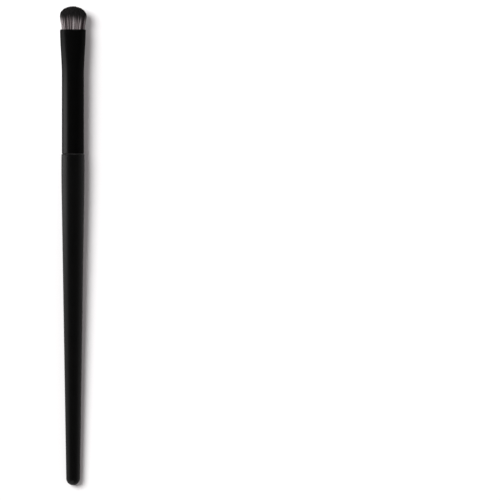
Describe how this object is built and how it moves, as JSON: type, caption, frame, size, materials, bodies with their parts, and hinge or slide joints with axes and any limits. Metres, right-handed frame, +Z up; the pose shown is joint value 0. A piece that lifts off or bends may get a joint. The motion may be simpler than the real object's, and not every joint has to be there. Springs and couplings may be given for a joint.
{
  "type": "eyeshadow brush",
  "caption": "Eyeshadow brush with a tapered matte black handle, a black ferrule pressed oval at its mouth and a flat-domed tuft of pale bristles with dark tips that flexes.",
  "frame": {"origin": "on the surface that the brush lies on, under the middle of its overall length", "axes": "+Y along the brush towards the tip, +X across the flat width of the tuft, +Z up out of the flat face; the axis rises by 0.9 degrees so that the tapered handle lies flat"},
  "size_m": [0.0092, 0.17, 0.0086],
  "materials": {
    "black_lacquered_wood": "matte",
    "tenon_adhesive": "gloss",
    "black_aluminium": "matte",
    "cast_epoxy": "gloss",
    "thread": "matte",
    "pale_filament": "satin",
    "dark_filament": "satin"
  },
  "bodies": {
    "brush": {"handle": "black_lacquered_wood", "tenon_glue": "tenon_adhesive", "ferrule": "black_aluminium", "root_plug": "cast_epoxy", "binding_thread": "thread", "pale_bristle_roots": "pale_filament", "dark_bristle_roots": "dark_filament"},
    "tuft": {"pale_bristle_ends": "pale_filament", "dark_bristle_ends": "dark_filament"}
  },
  "joints": [
    {"name": "tuft_bend", "type": "hinge", "parent": "brush", "child": "tuft", "pos_m": [0, 0.0782, 0.00497], "axis": [1, 0, 0], "range_deg": [-30, 30], "stiffness_Nm_per_rad": 0.012}
  ]
}
